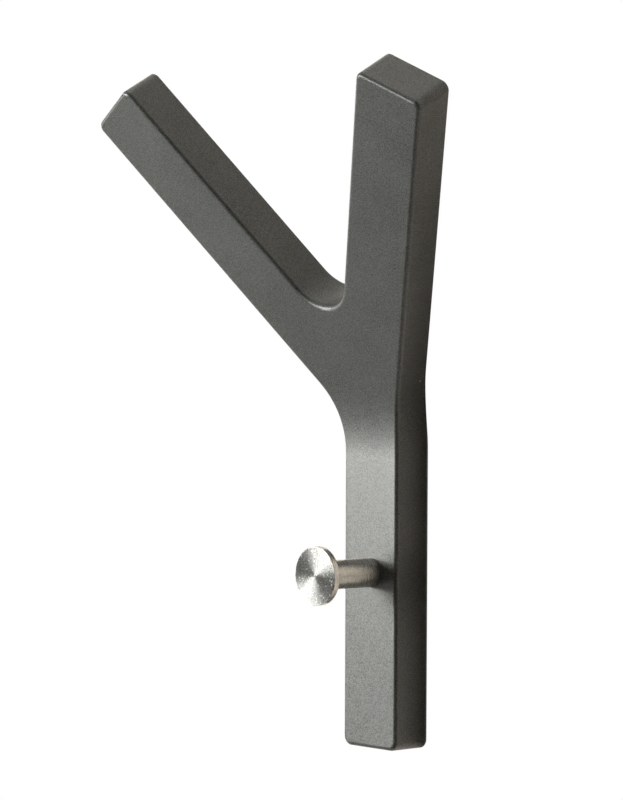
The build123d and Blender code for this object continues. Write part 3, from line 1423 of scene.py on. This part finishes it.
@dataclass(frozen=True)
class Portrait:
    """The camera: where it stands about the point it looks at, and how closely it looks."""

    azimuth: float = 48.27
    elevation: float = 1.527
    roll: float = 0.26
    distance: float = 904.07
    aim: tuple[float, float, float] = (-37.709, 0.0, 53.48)
    focal_length_in_pixels: float = 3174.34
    picture_height: float = 800.0
    sensor_height: float = 36.0

    def build(self) -> None:
        """Makes the camera and makes it the scene's."""
        data = bpy.data.cameras.new("portrait")
        data.sensor_width = self.sensor_height
        data.lens = self.focal_length_in_pixels / self.picture_height * self.sensor_height
        camera = in_scene("portrait", data)
        camera.matrix_world = facing_from(
            self.aim, self.azimuth, self.elevation, self.distance, self.roll
        )
        bpy.context.scene.camera = camera


@dataclass(frozen=True)
class SoftBox:
    """A soft rectangular lamp that looks at the hook from a place about it.

    Its width and height are the angles that it fills as the hook sees it, its glow is the
    brightness of its face, where white paper in plain light has 1, and its roll goes clockwise as
    it looks.
    """

    name: str
    azimuth: float
    elevation: float
    distance: float
    width: float
    height: float
    glow: float
    roll: float = 0.0
    colour: tuple[float, float, float] = (0.99, 1.0, 0.95)
    aim: tuple[float, float, float] = (0.0, -15.0, 30.0)

    def build(self) -> None:
        """Makes the lamp, which the camera itself doesn't see."""
        data = bpy.data.lights.new(self.name, "AREA")
        data.shape = "RECTANGLE"
        data.size, data.size_y = (
            2 * self.distance * MM * tan(radians(angle) / 2) for angle in (self.width, self.height)
        )
        data.energy = LAMP_WATTS * self.glow * data.size * data.size_y
        data.color = self.colour
        lamp = in_scene(self.name, data)
        lamp.matrix_world = facing_from(
            self.aim, self.azimuth, self.elevation, self.distance, -self.roll
        )
        lamp.visible_camera = False


@dataclass(frozen=True)
class Studio:
    """The pale floor, the wall behind the hook, the white beyond them and the soft lamps."""

    floor_height: float = -1500.0
    floor_radius: float = 560.0
    floor_rings: int = 24
    floor_spokes: int = 96
    floor_dark: Colour = (0.80, 0.80, 0.795, 1.0)
    floor_pale: Colour = (0.84, 0.84, 0.835, 1.0)
    floor_clouds: float = 9.0
    white_start: float = 360.0
    white_end: float = 520.0
    wall_gap: float = 0.5
    wall_clearance: float = 1.5
    wall_reach: float = 900.0
    wall_steps: int = 24
    wall_dark: Colour = (0.87, 0.80, 0.73, 1.0)
    wall_pale: Colour = (0.92, 0.85, 0.78, 1.0)
    wall_clouds: float = 6.0
    matt_roughness: float = 0.9
    surround: float = 0.09
    sky: float = 0.1
    sky_start: float = 0.6
    backdrop: float = 0.9
    backdrop_edge: float = 0.1
    warmth: Colour = (1.0, 0.94, 0.84, 1.0)
    white: Colour = (1.0, 1.0, 1.0, 1.0)
    sharp_angle: float = 60.0
    lamps: tuple[SoftBox, ...] = (
        SoftBox("key_upper", -41.5, 8.5, 931.0, 22.0, 14.0, 15.0, 9.0),
        SoftBox("key_lower", -41.5, 4.0, 931.0, 24.0, 8.0, 10.5, 9.0),
        SoftBox("key_right", -29.5, 6.0, 931.0, 18.0, 14.0, 18.0, 9.0),
        SoftBox("key_strip", -41.0, 1.5, 1451.0, 42.0, 7.0, 4.6, 8.0),
        SoftBox("key_foot", -48.0, -13.0, 1400.0, 34.0, 5.0, 3.0, 4.0),
        SoftBox("low_fill", -66.0, -33.0, 900.0, 40.0, 24.0, 0.3),
        SoftBox("top_box", 20.0, 80.0, 1000.0, 58.0, 48.0, 1.15),
        SoftBox("left_low", -80.0, -2.0, 1000.0, 14.0, 10.0, 5.0),
        SoftBox("left_box", -80.1, -22.5, 986.0, 13.3, 12.4, 2.0),
    )

    def clouded(
        self, name: str, dark: Colour, pale: Colour, clouds: float
    ) -> tuple[bpy.types.Material, Wiring, bpy.types.NodeSocket]:
        """A matt material with faint clouds between two colours.

        Args:
            name: The material's name.
            dark: The colour where the clouds are thin.
            pale: The colour where they are thick.
            clouds: How many clouds there are to the metre.

        Returns:
            The material, the wiring of its tree and the place that its patterns follow.
        """
        material, wire, shader = new_material(name)
        place = wire.add("TexCoord").outputs["Object"]
        cloud = wire.effect(Effect.GRAIN, {"Place": place, "Clouds": clouds})["Cloud"]
        colour = wire.blend(cloud, dark, pale)
        wire.feed(shader, {"Base Color": colour, "Roughness": self.matt_roughness})
        return material, wire, place

    @staticmethod
    def cover(wire: Wiring, share: bpy.types.NodeSocket, other: bpy.types.Node) -> None:
        """Shows a share of another shader instead of a material's main one."""
        nodes = wire.tree.nodes
        inputs = {0: share, 1: nodes["Principled BSDF"].outputs[0], 2: other.outputs[0]}
        wire.feed(nodes["Material Output"], {0: wire.add("MixShader", inputs).outputs[0]})

    def floor(self) -> bpy.types.Object:
        """A round floor below the hook: a disc of rings, radius times a turn's cosine and sine."""
        share = np.linspace(0.0, 1.0, self.floor_rings + 1)[:, None] ** 2
        turn = np.linspace(0.0, 2 * pi, self.floor_spokes + 1)[None, :]
        radius = share * self.floor_radius
        points = np.broadcast_arrays(radius * np.cos(turn), radius * np.sin(turn), self.floor_height)
        skin = Skin("pale_floor")
        skin.add(np.stack(points, axis=-1))
        floor = skin.sew(self.sharp_angle, closed=False)
        floor.data.materials.append(self.floor_material())
        return floor

    def floor_material(self) -> bpy.types.Material:
        """Pale paper under the hook, which is seen to turn into white further out."""
        material, wire, place = self.clouded(
            "pale_floor", self.floor_dark, self.floor_pale, self.floor_clouds
        )
        level = {0: place, 1: (1.0, 1.0, 0.0)}
        flat = wire.add("VectorMath", level, operation="MULTIPLY").outputs[0]
        away = wire.add("VectorMath", {0: flat}, operation="LENGTH").outputs[1]
        far = wire.ramp(away, self.white_start * MM, self.white_end * MM)
        rays = wire.add("LightPath").outputs
        kinds = ("Camera", "Transmission", "Glossy")
        seen = wire.either(*(rays[f"Is {kind} Ray"] for kind in kinds))
        white = wire.add("Emission", {"Color": self.white, "Strength": 1.0})
        self.cover(wire, wire.math("MULTIPLY", far, seen), white)
        return material

    def wall(self) -> bpy.types.Object:
        """The wall that carries the hook, which only its reflections and its bounced light show.

        It is a flat grid just behind the hook's back. The camera looks past it to the white
        beyond, and seen from behind it is clear.
        """
        line = np.linspace(-self.wall_reach, self.wall_reach, self.wall_steps + 1)
        points = np.broadcast_arrays(line[None, :], self.wall_gap, line[:, None])
        skin = Skin("backdrop_wall")
        skin.add(np.stack(points, axis=-1), turned=True)
        wall = skin.sew(self.sharp_angle, closed=False)
        wall.data.materials.append(self.wall_material())
        wall.visible_camera = False
        return wall

    def wall_material(self) -> bpy.types.Material:
        """Warm white wall paint, clear from behind and to rays that have only just set out."""
        material, wire, _ = self.clouded(
            "wall_paint", self.wall_dark, self.wall_pale, self.wall_clouds
        )
        behind = wire.add("NewGeometry").outputs["Backfacing"]
        travelled = wire.add("LightPath").outputs["Ray Length"]
        close = wire.math("LESS_THAN", travelled, self.wall_clearance * MM)
        self.cover(wire, wire.either(behind, close), wire.add("BsdfTransparent"))
        return material

    def world(self) -> None:
        """White to the camera and through glass, dim to the hook, and brighter overhead.

        Beyond the wall's plane it is white in reflections too, and lights the hook's back.
        """
        world = bpy.data.worlds.new("studio")
        world.use_nodes = True
        bpy.context.scene.world = world
        wire = Wiring(world.node_tree)
        way = wire.add("SeparateXYZ", {0: wire.add("TexCoord").outputs["Generated"]}).outputs
        dim = wire.ramp(way[2], self.sky_start, 1.0, self.surround, self.sky)
        beyond = wire.ramp(way[1], 0.0, self.backdrop_edge, 0.0, self.backdrop)
        rays = wire.add("LightPath").outputs
        behind = wire.math("GREATER_THAN", way[1], 0.0)
        mirrored = wire.math("MULTIPLY", rays["Is Glossy Ray"], behind)
        seen = wire.either(rays["Is Camera Ray"], rays["Is Transmission Ray"], mirrored)
        inputs = {
            "Color": wire.blend(seen, self.warmth, self.white),
            "Strength": wire.either(seen, dim, beyond),
        }
        wire.feed(world.node_tree.nodes["Background"], inputs)

    def build(self) -> None:
        """Sets up the surround, the floor, the wall and the lamps."""
        self.world()
        self.floor()
        self.wall()
        for lamp in self.lamps:
            lamp.build()
        bpy.context.scene.view_settings.view_transform = "Standard"


def main() -> None:
    """Builds the camera, the pieces and the studio, and reports each piece."""
    logging.basicConfig(level=logging.INFO, format="%(name)s: %(message)s")
    Portrait().build()
    body = HookBody()
    knob_height = body.bar.front_corner - body.knob_drop
    for maker in (body, Knob(knob_height), KnobScrew(knob_height)):
        piece = maker.build()
        maker.dress(piece)
        corners = np.array([tuple(corner) for corner in piece.bound_box]) / MM
        low, high = corners.min(axis=0).round(2), corners.max(axis=0).round(2)
        log.info("%s spans %s to %s mm", piece.name, low, high)
    Studio().build()


if __name__ == "__main__":
    main()
